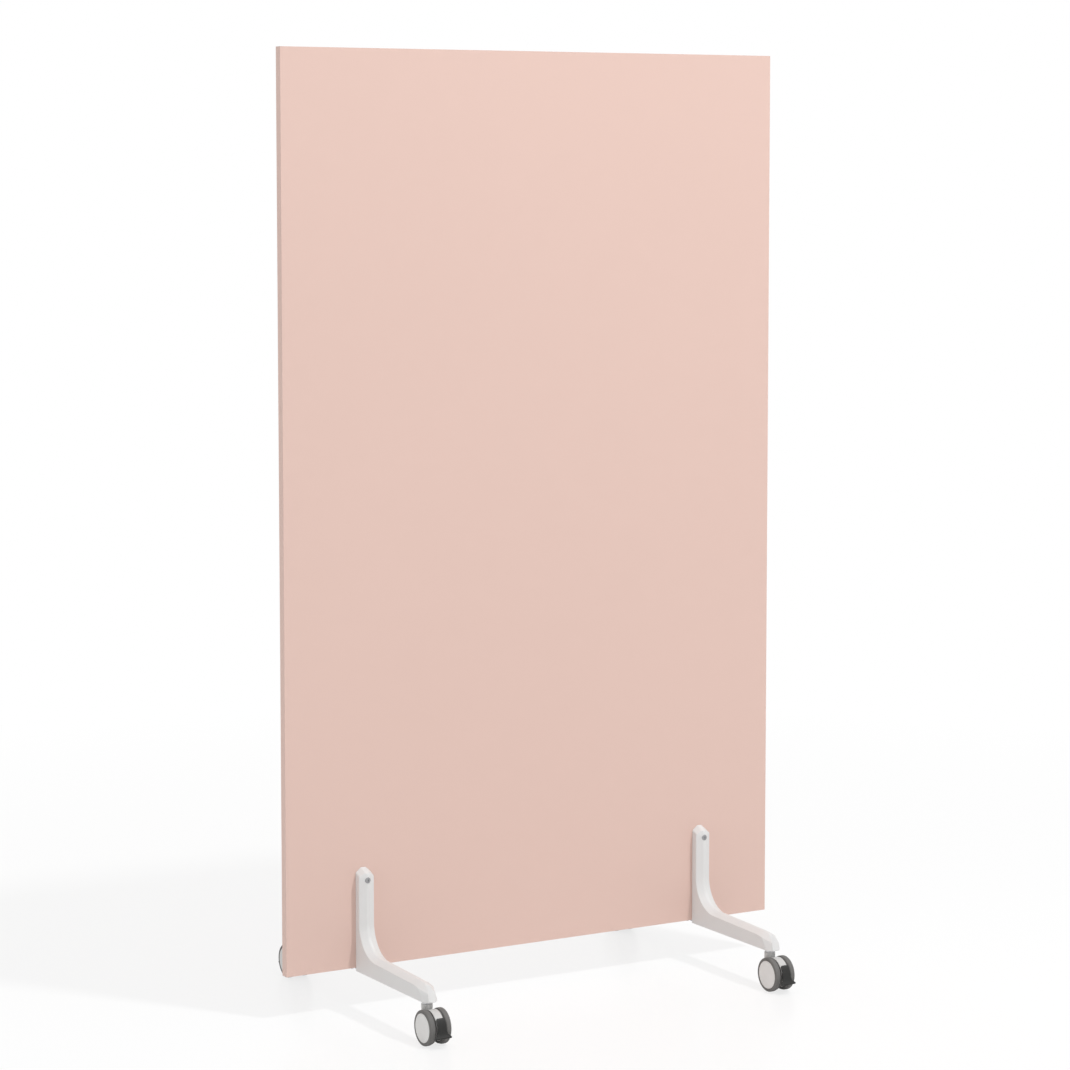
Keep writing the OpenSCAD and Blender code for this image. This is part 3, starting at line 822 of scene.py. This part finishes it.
# ---- Brake pedals ----
# A matt black nylon pedal closes the front of each hood. A plate follows the wheels down to
# two wings, which press on both tyres when the pedal is trodden down on its pin.
# Each ring is (outer point, inner point, half width outside, half width of the lip).
PEDAL_RINGS = [
    ((26.0, 20.8), (24.6, 19.3), 6.5, 6.4),
    ((27.0, 20.0), (25.1, 18.4), 7.5, 7.4),
    ((28.4, 18.1), (26.2, 16.5), 7.9, 7.8),
    ((30.0, 15.2), (27.9, 13.7), 8.0, 7.8),
    ((31.9, 11.1), (29.7, 9.7), 8.1, 7.8),
    ((33.3, 6.9), (30.6, 5.5), 8.3, 7.9),
    ((34.3, 3.0), (30.2, 1.6), 8.5, 8.0),
    ((35.1, -0.4), (29.6, -1.8), 9.0, 8.2),
    ((35.7, -3.0), (29.3, -4.6), 9.5, 8.8),
    ((36.4, -5.1), (29.8, -7.0), 10.5, 9.9),
    ((37.3, -7.2), (31.6, -9.2), 12.8, 12.2),
    ((38.4, -9.1), (34.6, -11.0), 15.6, 15.0),
    ((39.4, -10.8), (37.2, -12.2), 16.3, 16.1),
    ((39.3, -12.4), (38.2, -12.6), 15.2, 15.0),
]
PEDAL_BODY = 7.05
LIP = 1.5
ARM = [(30.4, 10.5), (17, 12.8), (16, 5.2), (34.6, -2.6), (34.4, 0)]
ARM_HALF = MOUTH_HALF - 0.35
BOSS_R = 3.8
PIN_BORE_R = 1.55


def pedal_plate():
    """Lofts the plate: a lip along its outer face and a narrower body behind it."""
    shape = bmesh.new()
    rings = []
    for outer, deep, half, lip_half in PEDAL_RINGS:
        outer, deep = Vector(outer), Vector(deep)
        inward = deep - outer
        under_lip = outer + inward * min(0.5, LIP / inward.length)
        crown = outer - inward.normalized() * 0.25
        body = min(PEDAL_BODY, lip_half - 0.3)
        side = [(body, deep), (body, under_lip), (lip_half, under_lip), (half, outer)]
        rings.append(
            [Vector((-wide, *point)) for wide, point in side] + [Vector((0, *crown))]
            + [Vector((wide, *point)) for wide, point in reversed(side)] + [Vector((0, *deep))]
        )
    loft(shape, rings)
    return shape


def pedal_arm():
    """Arm from the plate back to the pin's boss, in the hood's mouth."""
    shape = bmesh.new()
    slab(shape, ARM, ARM_HALF)
    return shape


def cross_bar(radius, half):
    """Round bar along x at the pedal's pin."""
    shape = bmesh.new()
    bmesh.ops.create_cone(
        shape, cap_ends=True, segments=48, radius1=radius, radius2=radius, depth=2 * half
    )
    bmesh.ops.rotate(
        shape, cent=(0, 0, 0), matrix=Matrix.Rotation(math.pi / 2, 3, "Y"), verts=shape.verts
    )
    bmesh.ops.translate(shape, vec=PIN_PLACE, verts=shape.verts)
    return shape


pedal_black = moulded("pedal_nylon", (0.018, 0.018, 0.017), 1500.0, 0.5)
feed(pedal_black, pedal_black.node_tree.nodes["Principled BSDF"], Specular_IOR_Level=0.35)
for corner in CORNERS:
    pedal = to_piece(corner + "_brake_pedal", pedal_plate(), at_axle(corner))
    soften(pedal, 0.5, 40)
    join(pedal, pedal_arm(), "UNION", at_axle(corner))
    join(pedal, cross_bar(BOSS_R, ARM_HALF), "UNION", at_axle(corner))
    join(pedal, cross_bar(PIN_BORE_R, 12), "DIFFERENCE", at_axle(corner))
    smooth(pedal)
    finish_piece(pedal, pedal_black, corner + "_brake", "pedal_plastic", corner + "_pedal")

# ---- Stage and camera ----
# A white floor that keeps a soft shadow, a main lamp from the upper right with two weak
# ones to fill the shadows, and a camera at the photograph's place.
floor_shape = bmesh.new()
bmesh.ops.create_grid(floor_shape, x_segments=1, y_segments=1, size=20.0)
floor_mesh = bpy.data.meshes.new("floor")
floor_shape.to_mesh(floor_mesh)
floor_shape.free()
floor = bpy.data.objects.new("floor", floor_mesh)
bpy.context.scene.collection.objects.link(floor)
floor_paint, shader = new_finish("floor_white", (0.9, 0.9, 0.9), 0.25)
feed(floor_paint, shader, Specular_IOR_Level=0.3)
glow = add_node(floor_paint, "ShaderNodeEmission", Color=(1, 1, 1, 1), Strength=1.0)
rays = add_node(floor_paint, "ShaderNodeLightPath")
mirrored = reckon(
    floor_paint, "MAXIMUM", rays.outputs["Is Glossy Ray"], rays.outputs["Is Transmission Ray"]
)
seen = reckon(floor_paint, "MAXIMUM", rays.outputs["Is Camera Ray"], mirrored)
far = add_node(
    floor_paint, "ShaderNodeVectorMath", {"operation": "LENGTH"}, Vector=object_place(floor_paint)
)
fade = spread(floor_paint, far.outputs["Value"], 0.76, 1.0, 1.4, 3.0)
blend = add_node(
    floor_paint, "ShaderNodeMixShader", Fac=reckon(floor_paint, "MULTIPLY", seen, fade)
)
floor_paint.node_tree.links.new(shader.outputs[0], blend.inputs[1])
floor_paint.node_tree.links.new(glow.outputs[0], blend.inputs[2])
feed(floor_paint, floor_paint.node_tree.nodes["Material Output"], Surface=blend.outputs[0])
floor.data.materials.append(floor_paint)

world = bpy.data.worlds.new("studio")
bpy.context.scene.world = world
world.use_nodes = True
rays = add_node(world, "ShaderNodeLightPath")
level = 0.6
for kind in ("Is Camera Ray", "Is Glossy Ray", "Is Transmission Ray"):
    level = reckon(world, "MAXIMUM", rays.outputs[kind], level)
feed(world, world.node_tree.nodes["Background"], Color=(1, 1, 1, 1), Strength=level)


def soft_lamp(name, place, size, energy):
    """Round soft lamp, aimed at the middle of the board."""
    lamp = bpy.data.lights.new(name, "AREA")
    lamp.shape = "DISK"
    lamp.size = size
    lamp.energy = energy
    holder = bpy.data.objects.new(name, lamp)
    bpy.context.scene.collection.objects.link(holder)
    holder.location = place
    holder.rotation_mode = "QUATERNION"
    holder.rotation_quaternion = (Vector((0, 0, 0.85)) - holder.location).to_track_quat("-Z", "Y")


soft_lamp("key_lamp", (1.5, -3.0, 5.9), 0.6, 212)
soft_lamp("fill_lamp", (-5.0, -1.2, 1.8), 3.0, 24)
soft_lamp("rear_lamp", (-0.5, 6.0, 3.2), 3.0, 40)

lens = bpy.data.cameras.new("camera")
lens.lens = 107.382
lens.sensor_width = 36
lens.shift_y = -0.08
lens.clip_end = 100
camera = bpy.data.objects.new("camera", lens)
bpy.context.scene.collection.objects.link(camera)
camera.location = (-2.9095, -4.9825, 1.5092)
camera.rotation_euler = (math.radians(90 - 5.169), 0, math.radians(-30.306))
bpy.context.scene.camera = camera
bpy.context.scene.view_settings.view_transform = "Standard"
